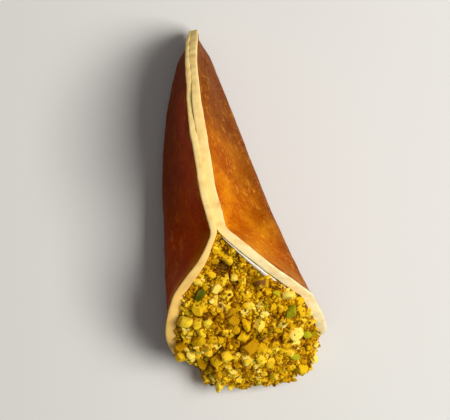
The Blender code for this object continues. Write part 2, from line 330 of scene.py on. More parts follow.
def double_disc(cells, rings):
    """Two unit discs of quads at z = 1 and z = -1, joined at the edge by a band of rings."""
    shape = bmesh.new()
    bmesh.ops.create_grid(shape, x_segments=cells, y_segments=cells, size=1.0)
    for vertex in shape.verts:
        vertex.co = Vector((*square_to_disc(vertex.co.x, vertex.co.y), 1.0))
    whole = shape.verts[:] + shape.edges[:] + shape.faces[:]
    copied = bmesh.ops.duplicate(shape, geom=whole)["geom"]
    for vertex in (item for item in copied if isinstance(item, bmesh.types.BMVert)):
        vertex.co.z = -1.0
    edges = [edge for edge in shape.edges if edge.is_boundary]
    band = bmesh.ops.bridge_loops(shape, edges=edges)["faces"]
    band_edges = (edge for face in band for edge in face.edges)
    struts = {edge for edge in band_edges if edge.verts[0].co.z * edge.verts[1].co.z < 0.0}
    bmesh.ops.subdivide_edges(shape, edges=list(struts), cuts=rings, use_grid_fill=True)
    bmesh.ops.recalc_face_normals(shape, faces=shape.faces)
    return shape


def turn_faces_out(shape):
    """Points the faces of a closed shape outward."""
    bmesh.ops.recalc_face_normals(shape, faces=shape.faces)
    if shape.calc_volume(signed=True) < 0.0:
        bmesh.ops.reverse_faces(shape, faces=shape.faces)


def show(shape, name):
    """The finished shape as a smooth-shaded object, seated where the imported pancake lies."""
    turn_faces_out(shape)
    mesh = bpy.data.meshes.new(name)
    shape.to_mesh(mesh)
    shape.free()
    mesh.shade_smooth()
    mesh.transform(Matrix.Translation(SEAT))
    piece = bpy.data.objects.new(name, mesh)
    bpy.context.scene.collection.objects.link(piece)
    return piece


def rim_wobble(angle):
    """The poured round isn't a true circle. It is even at the tip, where its two lips end."""
    waves = sum(height * math.sin(count * angle + start) for count, height, start in RIM_WAVES)
    return RIM_WOBBLE * waves * smooth_step(math.cos(angle), *RIM_WAVES_START)


def crust_relief(flat, station, from_rim, side):
    """Height of the browned face over the even sheet: soft swells, small blisters and finger dents."""
    swell = sum(height * noise.noise(flat / size) for height, size in CRUST_SWELLS)
    beat = 0.5 + 0.5 * math.cos(math.tau * station / DENT_SPACING + side * DENT_SIDE_SHIFT)
    dent = DENT_DEPTH * beat * (1.0 - smooth_step(from_rim, *DENT_FALL))
    dent *= smooth_step(from_rim, 0.0, DENT_RIM_MARGIN) * smooth_step(station, *DENT_START)
    dent *= 1.0 - smooth_step(station, *DENT_END)
    return swell - dent


widest = max(
    fold(station, RIGHT, reach_at(station) * i / WIDTH_SAMPLES, BODY_THICKNESS / 2.0).x
    for station in STATIONS[SECTION_COUNT // 2 :]
    for i in range(WIDTH_SAMPLES + 1)
)
pancake_low, pancake_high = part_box("pancake")
SEAT = Vector((pancake_high.x - widest, pancake_high.y, pancake_low.z))

shape = double_disc(PANCAKE_CELLS, RIM_RINGS)
flat_layer = shape.verts.layers.float_vector.new("flat_place")
for vertex in shape.verts:
    x, y, level = vertex.co
    angle = math.atan2(y, x)
    bulge = 0.0
    if abs(level) < DISC_LEVEL:
        squareness = RIM_SQUARENESS if level < 0.0 else INNER_RIM_SQUARENESS
        bulge = RIM_BULGE * math.cos(level * UPRIGHT) ** squareness
        level = math.copysign(abs(math.sin(level * UPRIGHT)) ** squareness, level)
    size = (ROUND_RADIUS - RIM_BULGE) * (1.0 + rim_wobble(angle) * math.hypot(x, y)) + bulge
    station, reach = ROUND_RADIUS + x * size, y * size
    flat = Vector((station - ROUND_RADIUS, reach, 0.0))
    from_rim = ROUND_RADIUS - flat.length
    side = LEFT if reach < 0.0 else RIGHT
    outer, inner = sheet_faces(station, from_rim, side)
    rag = RIM_RAG * noise.noise(flat / RIM_RAG_SIZE) * (1.0 - smooth_step(from_rim, 0.0, RIM_RAG_WIDTH))
    if level < 0.0:
        outward = -level * (outer + crust_relief(flat, station, from_rim, side))
    else:
        opened = smooth_step(station, *(PINCH_END[side] + shift for shift in PORE_START))
        pores = PORE_DEPTH * (noise.noise(flat / PORE_SIZE) - PORE_LEVEL) * opened
        outward = -level * (inner + pores)
    station += rag * flat.x / ROUND_RADIUS
    reach = (reach + rag * flat.y / ROUND_RADIUS) * fullness_at(station)
    vertex[flat_layer] = Vector((flat.x, flat.y, outward))
    vertex.co = fold(station, side, abs(reach), outward)
    vertex.co.z = max(vertex.co.z, 0.0)
pancake = show(shape, "folded_pancake")


def tint(*levels):
    """Linear colour of a screen's red, green and blue, which go from 0 to 255."""
    linear = [((c / 255.0 + 0.055) / 1.055) ** 2.4 if c > 10 else c / 3294.6 for c in levels]
    return (*linear, 1.0)


def fill(tree, made, inputs):
    """Fills a node's inputs. Each is given as a value or as another node's output."""
    for key, value in inputs.items():
        if isinstance(value, bpy.types.NodeSocket):
            tree.links.new(value, made.inputs[key])
        else:
            made.inputs[key].default_value = value


def add_node(tree, kind, inputs=None, **settings):
    """A node with its settings and inputs filled in."""
    made = tree.nodes.new(kind)
    for name, value in settings.items():
        setattr(made, name, value)
    fill(tree, made, inputs or {})
    return made


def maths(tree, operation, *values, clamp=False):
    """Output of a maths node."""
    inputs = dict(enumerate(values))
    return add_node(tree, "ShaderNodeMath", inputs, operation=operation, use_clamp=clamp).outputs[0]


def vector_maths(tree, operation, *values, output="Vector"):
    """Output of a vector maths node."""
    inputs = dict(enumerate(values))
    return add_node(tree, "ShaderNodeVectorMath", inputs, operation=operation).outputs[output]


def attribute(tree, name, output="Fac"):
    """One of the piece's own attributes."""
    return add_node(tree, "ShaderNodeAttribute", attribute_name=name).outputs[output]


def fade(tree, value, start, end, lowest=0.0, curve="SMOOTHSTEP"):
    """Mask that goes from lowest at start to 1 at end. The end may be the smaller value."""
    inputs = {"Value": value, "From Min": start, "From Max": end, "To Min": lowest}
    return add_node(tree, "ShaderNodeMapRange", inputs, interpolation_type=curve).outputs["Result"]


def swing(tree, cloud, width):
    """A cloud made an offset to both sides of 0, of this whole width."""
    return maths(tree, "MULTIPLY", maths(tree, "SUBTRACT", cloud, 0.5), width)


def mix_colour(tree, mask, low, high):
    """Colour that goes from low to high with the mask."""
    inputs = {0: mask, 6: low, 7: high}
    return add_node(tree, "ShaderNodeMix", inputs, data_type="RGBA").outputs[2]


def tinge(tree, colour, other, mask, share):
    """The colour, with this share of the other one where the mask is 1."""
    return mix_colour(tree, maths(tree, "MULTIPLY", mask, share), colour, other)


def mottle_group():
    """Cloudy patches of one size: a mask that is 0 below From and 1 above To, and the raw cloud."""
    group = bpy.data.node_groups.new("mottle", "ShaderNodeTree")
    group.interface.new_socket("Place", in_out="INPUT", socket_type="NodeSocketVector")
    for name, value in (("Size mm", 1.0), ("Detail", 2.0), ("From", 0.4), ("To", 0.6)):
        socket = group.interface.new_socket(name, in_out="INPUT", socket_type="NodeSocketFloat")
        socket.default_value = value
    for name in ("Mask", "Cloud"):
        group.interface.new_socket(name, in_out="OUTPUT", socket_type="NodeSocketFloat")
    given = group.nodes.new("NodeGroupInput").outputs
    scale = maths(group, "DIVIDE", 1000.0, given["Size mm"])
    inputs = {"Vector": given["Place"], "Scale": scale, "Detail": given["Detail"], "Roughness": 0.55}
    cloud = add_node(group, "ShaderNodeTexNoise", inputs).outputs["Fac"]
    mask = fade(group, cloud, given["From"], given["To"])
    add_node(group, "NodeGroupOutput", {"Mask": mask, "Cloud": cloud})
    return group


MOTTLE = mottle_group()


def mottle(tree, place, size_mm, start=0.0, end=1.0, detail=3.0, output="Mask"):
    """Output of the mottle group with these values."""
    inputs = {"Place": place, "Size mm": size_mm, "Detail": detail, "From": start, "To": end}
    return add_node(tree, "ShaderNodeGroup", inputs, node_tree=MOTTLE).outputs[output]


def new_material(name, roughness):
    """A material, its node tree and its Principled shader."""
    material = bpy.data.materials.new(name)
    material.use_nodes = True
    shader = material.node_tree.nodes["Principled BSDF"]
    shader.inputs["Roughness"].default_value = roughness
    return material, material.node_tree, shader


def let_light_in(shader, weight, depths):
    """Lets this share of the light scatter inside, to these depths of its red, green and blue."""
    shader.inputs["Subsurface Weight"].default_value = weight
    shader.inputs["Subsurface Radius"].default_value = depths
    shader.inputs["Subsurface Scale"].default_value = 1.0


BUMP_STRENGTH = 0.5


def dress(tree, shader, colour, height, relief):
    """Gives the shader its colour, and a fine relief this deep from a height between 0 and 1."""
    inputs = {"Strength": BUMP_STRENGTH, "Distance": relief, "Height": height}
    bump = add_node(tree, "ShaderNodeBump", inputs)
    fill(tree, shader, {"Base Color": colour, "Normal": bump.outputs["Normal"]})


CRUST_DEEP = tint(96, 30, 3)
# A red-brown painted shade for the left flank, which faces away from the key lamp.
CRUST_LEFT_PAINTED_SHADE = tint(186, 48, 2)
# Deep brown of the fold, which also serves as painted shade at the tip and low on the flanks.
CRUST_FOLD_BROWN_AND_SHADE = tint(94, 30, 1)
CRUST_BROWN = tint(182, 80, 4)
CRUST_LIGHT = tint(222, 132, 12)
# Light flecks: partly paler spots of the skin, partly painted glints.
CRUST_FLECK_AND_GLINT = tint(246, 170, 56)
CRUST_LINE = tint(84, 26, 3)
CRUST_SHEEN = tint(255, 180, 100)
CRUST_ROUGHNESS, LIP_ROUGHNESS = 0.46, 0.62
LIP_PALE = tint(255, 222, 146)
LIP_CREAMY = tint(255, 238, 184)
LIP_TOAST = tint(228, 178, 98)
# A warmer, darker painted shade for the left lip at the mouth.
LIP_LEFT_PAINTED_SHADE = tint(255, 210, 116)
LIP_BAND = 0.00085
LIP_BAND_WANDER = 0.0011
LIP_BAND_EDGE = (LIP_BAND - 0.00025, LIP_BAND + 0.0002)
LIP_MIDDLE = (0.00005, 0.0003)
LINE_SHIFT = 0.0003
LINE_HALF_WIDTH = 0.0006
LEFT_PART = (0.004, -0.012)
MOUTH_PART = (0.004, 0.018)
# Where the fold's deep brown with painted shade, and the tip's painted shade, set in.
FOLD_PART, FOLD_WANDER = (0.033, 0.015), 0.016
TIP_SHADE_PART, TIP_SHADE_WANDER = (0.002, -0.026), 0.02
# The left flank's painted shade fades out towards the rim.
PAINTED_SHADE_RIM_FADE = (ROUND_RADIUS - 0.0015, ROUND_RADIUS - 0.0070)
# The flecks are partly painted glints; fewer grains and flecks on the left flank are part of its painted
# shade.
FLECK_GLINT_STRETCH = (0.62, 1.0, 1.0)
GRAIN_SHARE, GRAIN_LEFT_SHADE_LOSS = 0.24, 0.18
FLECK_GLINT_SHARE, FLECK_GLINT_LEFT_SHADE_LOSS = 0.46, 0.26

material, tree, shader = new_material("griddled_batter", CRUST_ROUGHNESS)

# Where a point lies on the flat round: along it, across it, from its centre, and on which face.
flat_place = attribute(tree, "flat_place", "Vector")
parts = add_node(tree, "ShaderNodeSeparateXYZ", {"Vector": flat_place}).outputs
level_inputs = {"X": parts["X"], "Y": parts["Y"]}
level_place = add_node(tree, "ShaderNodeCombineXYZ", level_inputs).outputs["Vector"]
radius = vector_maths(tree, "LENGTH", level_place, output="Value")
cloud = mottle(tree, flat_place, size_mm=8.0, detail=2.0, output="Cloud")
to_left = fade(tree, parts["Y"], *LEFT_PART, curve="LINEAR")
at_mouth = fade(tree, parts["X"], *MOUTH_PART, curve="LINEAR")
from_fold = maths(tree, "ADD", maths(tree, "ABSOLUTE", parts["Y"]), swing(tree, cloud, FOLD_WANDER))
to_fold = fade(tree, from_fold, *FOLD_PART)
tip_painted_shade = fade(tree, maths(tree, "ADD", parts["X"], swing(tree, cloud, TIP_SHADE_WANDER)), *TIP_SHADE_PART)
off_lip = fade(tree, radius, *PAINTED_SHADE_RIM_FADE, lowest=0.1)

# The browned side: lighter and darker patches, painted shade towards the tip, a red-brown painted
# shade on the left flank, deep brown towards the fold (partly the round's browner middle, partly
# painted shade low on the flanks), dark cells, and light flecks: paler spots where bubbles kept the
# batter off the griddle, and painted glints on its glossy blisters.
patches = mottle(tree, flat_place, size_mm=6.0, start=0.36, end=0.66, detail=4.0)
browned = mix_colour(tree, patches, CRUST_BROWN, CRUST_LIGHT)
# Painted shade: the crust darkens towards the tip.
browned = tinge(tree, browned, CRUST_FOLD_BROWN_AND_SHADE, tip_painted_shade, share=0.75)
# Painted shade: the left flank turns a darker red-brown, less of it near the rim.
painted_left_shade = maths(tree, "MULTIPLY", to_left, off_lip)
browned = tinge(tree, browned, CRUST_LEFT_PAINTED_SHADE, painted_left_shade, share=0.85)
# Deep brown towards the fold, partly the round's browner middle, partly painted shade low on the flanks.
browned = tinge(tree, browned, CRUST_FOLD_BROWN_AND_SHADE, to_fold, share=0.8)
dark_cells = mottle(tree, flat_place, size_mm=0.8, start=0.56, end=0.70)
browned = tinge(tree, browned, CRUST_DEEP, dark_cells, share=0.4)
grain = mottle(tree, flat_place, size_mm=0.55, start=0.34, end=0.66)
# Fewer light grains on the left flank, as a part of its painted shade.
grain_share = maths(tree, "SUBTRACT", GRAIN_SHARE, maths(tree, "MULTIPLY", to_left, GRAIN_LEFT_SHADE_LOSS))
browned = tinge(tree, browned, CRUST_LIGHT, grain, share=grain_share)
# Light flecks: paler spots of the skin, and painted glints on its blisters; fewer on the shaded left
# flank.
stretched = vector_maths(tree, "MULTIPLY", flat_place, FLECK_GLINT_STRETCH)
fleck_glints = mottle(tree, stretched, size_mm=0.75, start=0.50, end=0.70)
fleck_glint_field = mottle(tree, flat_place, size_mm=4.0, start=0.44, end=0.62)
fleck_glints = maths(tree, "MULTIPLY", fleck_glints, fleck_glint_field)
fleck_glint_share = maths(tree, "SUBTRACT", FLECK_GLINT_SHARE, maths(tree, "MULTIPLY", to_left, FLECK_GLINT_LEFT_SHADE_LOSS))
browned = tinge(tree, browned, CRUST_FLECK_AND_GLINT, fleck_glints, share=fleck_glint_share)

# The dark line where the browning stops, a little inside the rim.
edge_wander = mottle(tree, flat_place, size_mm=2.2, output="Cloud")
from_rim = maths(tree, "SUBTRACT", ROUND_RADIUS, radius)
from_rim = maths(tree, "ADD", from_rim, swing(tree, edge_wander, LIP_BAND_WANDER))
off_line = maths(tree, "ABSOLUTE", maths(tree, "SUBTRACT", from_rim, LIP_BAND + LINE_SHIFT))
off_line = maths(tree, "DIVIDE", off_line, LINE_HALF_WIDTH)
line = maths(tree, "SUBTRACT", 1.0, off_line, clamp=True)
browned = tinge(tree, browned, CRUST_LINE, line, share=0.9)

# The pale rim and inner face: creamy in the seam, warmer as painted shade on the left lip, toasted in
# places.
pale = mix_colour(tree, to_left, LIP_CREAMY, LIP_LEFT_PAINTED_SHADE)
pale = mix_colour(tree, at_mouth, LIP_PALE, pale)
toast = mottle(tree, flat_place, size_mm=2.6, start=0.42, end=0.72)
pale = tinge(tree, pale, LIP_TOAST, toast, share=0.55)
off_rim = fade(tree, from_rim, *LIP_BAND_EDGE, curve="LINEAR")
outside = fade(tree, parts["Z"], *LIP_MIDDLE, curve="LINEAR")
crust = maths(tree, "MULTIPLY", off_rim, outside, clamp=True)
colour = mix_colour(tree, crust, pale, browned)

# A fine, faintly pored skin, and only a dull sheen.
fine = mottle(tree, flat_place, size_mm=0.45, output="Cloud")
pores = mottle(tree, flat_place, size_mm=0.8, start=0.56, end=0.70, detail=1.0)
height = maths(tree, "SUBTRACT", maths(tree, "MULTIPLY", fine, 0.5), maths(tree, "MULTIPLY", pores, 0.3))
dress(tree, shader, colour, height, relief=0.00012)
smoothing = maths(tree, "MULTIPLY", crust, LIP_ROUGHNESS - CRUST_ROUGHNESS)
rough = maths(tree, "SUBTRACT", LIP_ROUGHNESS, smoothing)
fill(tree, shader, {"Roughness": rough, "Specular IOR Level": 0.015, "Specular Tint": CRUST_SHEEN})
let_light_in(shader, weight=0.06, depths=(0.0012, 0.0006, 0.0002))
pancake.data.materials.append(material)
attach(pancake, "root")
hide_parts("pancake")

# ---------------------------------------------------------------- Cream
# Clotted cream, cooked stiff from milk and spooned into the cone before the mouth is dipped. It
# clings to the sheet and shows as a white line between the right lip and the nuts.

CREAM_START = 0.0110
CREAM_END = 0.0715
CREAM_CLEARANCE = 0.00015
CREAM_LEAST_HALF_WIDTH = 0.0008
CREAM_SIDE_SHARE = 0.8
CREAM_INSET = {LEFT: 0.0030, RIGHT: 0.0002}
CREAM_SAG = 0.0050
CREAM_SAG_SHARE = 0.45
CREAM_SAG_START = (0.0425, 0.0480)
CREAM_SAG_EDGE = (0.03, 0.4)
CREAM_BEAD = 0.0003
CREAM_BEAD_EDGE = (0.0, 0.02)
CREAM_CLOT, CREAM_CLOT_SIZE = 0.0002, 0.002
CREAM_CORE_SHARE = 0.35
CREAM_SQUARENESS = 6
CREAM_SEGMENTS, CREAM_RINGS = 120, 120


def cream_wall(station, side, reach):
    """Point of the cream that lies against the sheet's inner face."""
    from_rim = ROUND_RADIUS - math.hypot(station - ROUND_RADIUS, reach / fullness_at(station))
    return fold(station, side, reach, -(sheet_faces(station, from_rim, side)[1] + CREAM_CLEARANCE))


def cream_reach(station, side):
    """Distance along the section where the cream leaves the sheet: under the seam or at the lip."""
    low, high = 0.0, max(reach_at(station) - CREAM_INSET[side], 0.0)
    wall = BODY_THICKNESS / 2.0 + CREAM_CLEARANCE
    for _ in range(HALVINGS):
        middle = (low + high) / 2.0
        across, _, angle = section_point(station, side, middle)
        narrow = angle > UPRIGHT and across - wall * math.sin(angle) < CREAM_LEAST_HALF_WIDTH
        low, high = (low, middle) if narrow else (middle, high)
    return low


def corner_number(item, base):
    """Number that no other edge or no other face has, made from up to three of its corners."""
    number = 0
    for corner in sorted(vertex.index for vertex in item.verts)[:3]:
        number = number * base + corner
    return number


shape = bmesh.new()
bmesh.ops.create_uvsphere(shape, u_segments=CREAM_SEGMENTS, v_segments=CREAM_RINGS, radius=1.0)
# The sphere lists its edges and faces in another order each run, and sorting makes it the same one.
shape.verts.index_update()
for items in (shape.edges, shape.faces):
    items.sort(key=lambda item: corner_number(item, len(shape.verts)))
for vertex in shape.verts:
    x, y, z = vertex.co
    along = math.acos(min(max(z, -1.0), 1.0)) / math.pi
    station = CREAM_START + (CREAM_END - CREAM_START) * along
    turn = abs(math.atan2(x, -y)) / math.pi
    side = LEFT if x < 0.0 else RIGHT
    ends = [cream_wall(station, s, cream_reach(station, s)) for s in (LEFT, RIGHT)]
    top = ends[0].lerp(ends[1], 0.5)
    if turn <= CREAM_SIDE_SHARE:
        place = cream_wall(station, side, cream_reach(station, side) * turn / CREAM_SIDE_SHARE)
    else:
        end = ends[0] if side == LEFT else ends[1]
        inward = (turn - CREAM_SIDE_SHARE) / (1.0 - CREAM_SIDE_SHARE)
        place = end.lerp(top, inward)
        sag = min(CREAM_SAG, CREAM_SAG_SHARE * end.z) * smooth_step(station, *CREAM_SAG_START)
        bead = CREAM_BEAD * smooth_step(inward, *CREAM_BEAD_EDGE)
        clot = CREAM_CLOT * noise.noise(place / CREAM_CLOT_SIZE)
        place.z += bead + clot - sag * smooth_step(inward, *CREAM_SAG_EDGE)
    core = cream_wall(station, side, 0.0).lerp(top, CREAM_CORE_SHARE)
    spread = math.sqrt(max(1.0 - (2.0 * along - 1.0) ** CREAM_SQUARENESS, 0.0))
    vertex.co = core.lerp(place, spread)
cream = show(shape, "clotted_cream")

CREAM_WHITE = tint(250, 244, 228)
CREAM_WARM = tint(242, 226, 192)

material, tree, shader = new_material("clotted_cream", roughness=0.42)
place = add_node(tree, "ShaderNodeTexCoord").outputs["Object"]
clots = mottle(tree, place, size_mm=2.4, start=0.4, end=0.7, detail=2.0)
curd = mottle(tree, place, size_mm=0.9, output="Cloud")
dress(tree, shader, mix_colour(tree, clots, CREAM_WHITE, CREAM_WARM), curd, relief=0.0002)
let_light_in(shader, weight=0.3, depths=(0.0015, 0.0011, 0.0007))
cream.data.materials.append(material)
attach(cream, "root")
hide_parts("cream")

# ---------------------------------------------------------------- Ground pistachio
# The dust and the finest grains of the crushed nuts, pressed into the cream and each other. They
# make one rough crust over the mouth, which the larger crumbs are stuck on and in.

MOUND_CENTRE_SHARE = 0.52
MOUND_RISE = 0.0066
MOUND_RISE_SHARE = (-0.1, 0.85)
MOUND_TOP_SHARE = 0.12
MOUND_ROUNDNESS = 2.4
MOUND_BLUNTNESS = 0.85
HANGING_BLUNTNESS = 0.4
MOUND_DEPTH = 0.0030
MOUND_EDGE = 0.0005
MOUND_INSET = 0.0003
MOUND_SINK = 0.0009
MOUND_TOP_SINK = 0.0014
MOUND_TOP_PART = (0.45, 0.95)
MOUND_OVERHANG = 0.0040
MOUND_FOOT_LEFT = (-0.0108, -0.0066)
MOUND_FOOT_RIGHT = (0.0190, 0.0145)
MOUND_FOOT_START = (0.0690, 0.0705)
MOUND_LUMP, MOUND_LUMP_SIZE = 0.0014, 0.0046
MOUND_LUMPS = ((1.0, 1.0), (0.5, 2.2))
MOUND_LUMP_EDGE_LOSS = 0.6
MOUND_GRAINS = ((0.00028, 0.0009), (0.00018, 0.0005))
MOUND_LOWEST = 0.0007
CREAM_LINE = 0.0004
CREAM_LINE_TURN = (0.0, 0.35)
CREAM_LINE_END = (0.0600, 0.0640)
POCKET_PLACE = Vector((-0.0006, -0.0526, 0.0))
POCKET_SIZE = 0.0029
POCKET_DEPTH = 0.0027
MOUND_CELLS, MOUND_RINGS = 120, 3
LIP_STEPS = 160

MOUTH_TOP = fold(PINCH_END[RIGHT], RIGHT, reach_at(PINCH_END[RIGHT])) * Vector((0.0, 1.0, 1.0))
MOUTH_FOOT = fold(ROUND_LENGTH, RIGHT, 0.0)
MOUTH_DOWN = (MOUTH_FOOT - MOUTH_TOP).normalized()
MOUTH_SIDE = Vector((1.0, 0.0, 0.0))
MOUTH_OUT = MOUTH_DOWN.cross(MOUTH_SIDE)
MOUTH_CENTRE = MOUTH_TOP.lerp(MOUTH_FOOT, MOUND_CENTRE_SHARE)


def turn_of(point):
    """Angle of a point about the mouth's centre: 0 at the top, positive to the right."""
    offset = point - MOUTH_CENTRE
    return math.atan2(offset.dot(MOUTH_SIDE), -offset.dot(MOUTH_DOWN))


def lip_loop():
    """Points along the inner edge of both lips, as (turn, point, station) in order of turn."""
    loop = []
    for side in (LEFT, RIGHT):
        for i in range(LIP_STEPS + 1):
            share = math.sin(UPRIGHT * i / LIP_STEPS)
            station = PINCH_END[side] + (ROUND_LENGTH - PINCH_END[side]) * share
            inner = sheet_faces(station, 0.0, side)[1]
            point = fold(station, side, reach_at(station), -inner)
            loop.append((turn_of(point), point, station))
    return sorted(loop, key=lambda entry: entry[0])


LIP_LOOP = lip_loop()


def lip_at_turn(turn):
    """Lip point and station at an angle about the mouth's centre."""
    before = LIP_LOOP[0]
    if turn <= before[0]:
        return before[1], before[2]
    for after in LIP_LOOP:
        if after[0] >= turn:
            share = (turn - before[0]) / max(after[0] - before[0], 1e-9)
            return before[1].lerp(after[1], share), before[2] + (after[2] - before[2]) * share
        before = after
    return before[1], before[2]


def mound_border(turn):
    """Edge of the crust and the share of it that hangs out over the foot of the mouth. Elsewhere it
    lies a little way down inside the lips."""
    lip, station = lip_at_turn(turn)
    hanging = smooth_step(lip.x, *MOUND_FOOT_LEFT) * smooth_step(lip.x, *MOUND_FOOT_RIGHT)
    hanging *= smooth_step(station, *MOUND_FOOT_START)
    inward = ((MOUTH_CENTRE - lip) * Vector((1.0, 1.0, 0.0))).normalized()
    creamy = smooth_step(turn, *CREAM_LINE_TURN) * (1.0 - smooth_step(station, *CREAM_LINE_END))
    border = lip + inward * (MOUND_INSET + CREAM_LINE * creamy) * (1.0 - hanging)
    border.y -= MOUND_OVERHANG * hanging
    border.z -= MOUND_SINK * (1.0 - hanging)
    border.z = max(border.z, MOUND_LOWEST + MOUND_EDGE)
    return border, hanging


def in_pocket(place):
    """1 in the middle of the shaded hollow below the pinch, and 0 outside it."""
    return hump((place.xy - POCKET_PLACE.xy).length, 0.0, POCKET_SIZE)


shape = double_disc(MOUND_CELLS, MOUND_RINGS)
borders = {}
for vertex in shape.verts:
    x, y, level = vertex.co
    spread = min(math.hypot(x, y), 1.0)
    turn = round(math.atan2(x, y), 3)
    if turn not in borders:
        borders[turn] = mound_border(turn)
    border, hanging = borders[turn]
    place = MOUTH_CENTRE.lerp(border, spread)
    place -= MOUTH_OUT * MOUND_TOP_SINK * smooth_step(y, *MOUND_TOP_PART)
    if level > DISC_LEVEL:
        rise = MOUND_RISE * (1.0 - (1.0 - MOUND_TOP_SHARE) * smooth_step(y, *MOUND_RISE_SHARE))
        blunt = MOUND_BLUNTNESS - HANGING_BLUNTNESS * hanging
        rise *= max(1.0 - spread**MOUND_ROUNDNESS, 0.0) ** blunt
        place += MOUTH_OUT * (MOUND_EDGE + rise)
        lump = sum(share * noise.noise(place / MOUND_LUMP_SIZE * count) for share, count in MOUND_LUMPS)
        grains = sum(height * noise.noise(place / size) for height, size in MOUND_GRAINS)
        away = (place - MOUTH_CENTRE).normalized()
        lumpiness = 1.0 - MOUND_LUMP_EDGE_LOSS * spread * (1.0 - hanging)
        place += away * (MOUND_LUMP * lump * lumpiness + grains)
        place -= MOUTH_OUT * POCKET_DEPTH * in_pocket(place)
    elif level < -DISC_LEVEL:
        place -= MOUTH_OUT * (MOUND_EDGE + MOUND_DEPTH * math.sqrt(max(1.0 - spread**2, 0.0)))
    else:
        place += MOUTH_OUT * MOUND_EDGE * level
    place.z = max(place.z, MOUND_LOWEST)
    vertex.co = place
ground_nuts = show(shape, "ground_pistachio")

NUT_TONES = (
    (0.00, tint(120, 70, 2)),
    (0.16, tint(168, 112, 3)),
    (0.42, tint(208, 154, 8)),
    (0.68, tint(236, 188, 20)),
    (0.88, tint(250, 210, 50)),
    (1.00, tint(254, 226, 104)),
)
NUT_DARK_GREEN = tint(62, 72, 6)
NUT_GREEN = tint(176, 178, 22)
NUT_SKIN = tint(110, 60, 30)
NUT_SPECK = tint(120, 70, 20)
NUT_SHADE = tint(84, 46, 8)
POCKET_SHADE = (0.75 * POCKET_SIZE, 0.25 * POCKET_SIZE)


def nut_material(name, loose):
    """Broken pistachio. Each loose crumb has its own tone, and brown skin clings to some."""
    material, tree, shader = new_material(name, roughness=0.66)
    place = add_node(tree, "ShaderNodeTexCoord").outputs["Object"]
    speckle = mottle(tree, place, size_mm=0.6, output="Cloud")
    tone = attribute(tree, "tone") if loose else mottle(tree, place, size_mm=1.1, start=0.30, end=0.90)
    tone = maths(tree, "ADD", tone, swing(tree, speckle, 0.35))
    ramp = add_node(tree, "ShaderNodeValToRGB", {"Fac": tone})
    stops = ramp.color_ramp.elements
    while len(stops) < len(NUT_TONES):
        stops.new(0.5)
    for stop, (position, colour) in zip(stops, NUT_TONES):
        stop.position = position
        stop.color = colour
    green = mottle(tree, place, size_mm=3.0, start=0.58, end=0.72, detail=2.0)
    green = maths(tree, "MULTIPLY", green, 0.35)
    if loose:
        own_green = maths(tree, "MULTIPLY", attribute(tree, "green"), 0.9)
        green = maths(tree, "MAXIMUM", green, own_green)
    green_tone = mix_colour(tree, tone, NUT_DARK_GREEN, NUT_GREEN)
    colour = mix_colour(tree, green, ramp.outputs["Color"], green_tone)
    specks = mottle(tree, place, size_mm=0.9, start=0.64, end=0.72, detail=2.0)
    colour = tinge(tree, colour, NUT_SPECK, specks, share=0.45)
    if loose:
        colour = tinge(tree, colour, NUT_SKIN, attribute(tree, "skin"), share=0.9)
    # Painted shade over the hollow below the pinch.
    from_pocket = vector_maths(tree, "ADD", place, -(POCKET_PLACE + SEAT))
    from_pocket = vector_maths(tree, "MULTIPLY", from_pocket, (1.0, 1.0, 0.0))
    from_pocket = vector_maths(tree, "LENGTH", from_pocket, output="Value")
    in_shade = fade(tree, from_pocket, *POCKET_SHADE)
    colour = tinge(tree, colour, NUT_SHADE, in_shade, share=0.75)
    dress(tree, shader, colour, speckle, relief=0.00015)
    shader.inputs["Specular IOR Level"].default_value = 0.04
    let_light_in(shader, weight=0.12, depths=(0.0008, 0.0005, 0.0001))
    return material


ground_nuts.data.materials.append(nut_material("ground_nuts", loose=False))
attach(ground_nuts, "root")
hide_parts("pistachio_coat")

# ---------------------------------------------------------------- Pistachio crumbs
# Roasted pistachio kernels crushed in a mortar: broken chunks, crumbs and grains. The dipped mouth
# picks them up loose, and they lie on the crust and on each other, largest first.

KERNEL_LUMPS = ((0.34, 1.1), (0.14, 2.6))
KERNEL_BREAKS = (0.5, 0.85)
KERNEL_LEAST_EDGE = 0.1
NOISE_REACH = 20.0
SKIN_MARGIN = -0.02
SHARP_EDGE = math.radians(38.0)


def random_direction(chance):
    """An even random unit vector."""
    z = chance.uniform(-1.0, 1.0)
    angle = chance.uniform(0.0, math.tau)
    ring = math.sqrt(1.0 - z * z)
    return Vector((ring * math.cos(angle), ring * math.sin(angle), z))


def broken_kernel(chance, subdivisions, cuts):
    """Points, faces and skin of one crumb about 2 across: a rough ball with some sides broken off
    flat. Skin is 1 on the points of the kernel's own surface and 0 on the broken ones."""
    shape = bmesh.new()
    bmesh.ops.create_icosphere(shape, subdivisions=subdivisions, radius=1.0)
    origin = random_direction(chance) * NOISE_REACH
    for vertex in shape.verts:
        lump = sum(size * noise.noise(vertex.co * count + origin) for size, count in KERNEL_LUMPS)
        vertex.co *= 1.0 + lump
    planes = []
    for _ in range(cuts):
        normal = random_direction(chance)
        foot = normal * chance.uniform(*KERNEL_BREAKS)
        planes.append((foot, normal))
        whole = shape.verts[:] + shape.edges[:] + shape.faces[:]
        cut = bmesh.ops.bisect_plane(shape, geom=whole, plane_co=foot, plane_no=normal, clear_outer=True)
        rim = [item for item in cut["geom_cut"] if isinstance(item, bmesh.types.BMEdge)]
        if rim:
            bmesh.ops.contextual_create(shape, geom=rim)
    bmesh.ops.remove_doubles(shape, verts=shape.verts, dist=KERNEL_LEAST_EDGE)
    turn_faces_out(shape)
    bmesh.ops.triangulate(shape, faces=shape.faces)
    points = [vertex.co.copy() for vertex in shape.verts]
    faces = [[vertex.index for vertex in face.verts] for face in shape.faces]
    skin = [float(all((p - foot).dot(normal) < SKIN_MARGIN for foot, normal in planes)) for p in points]
    shape.free()
    return points, faces, skin


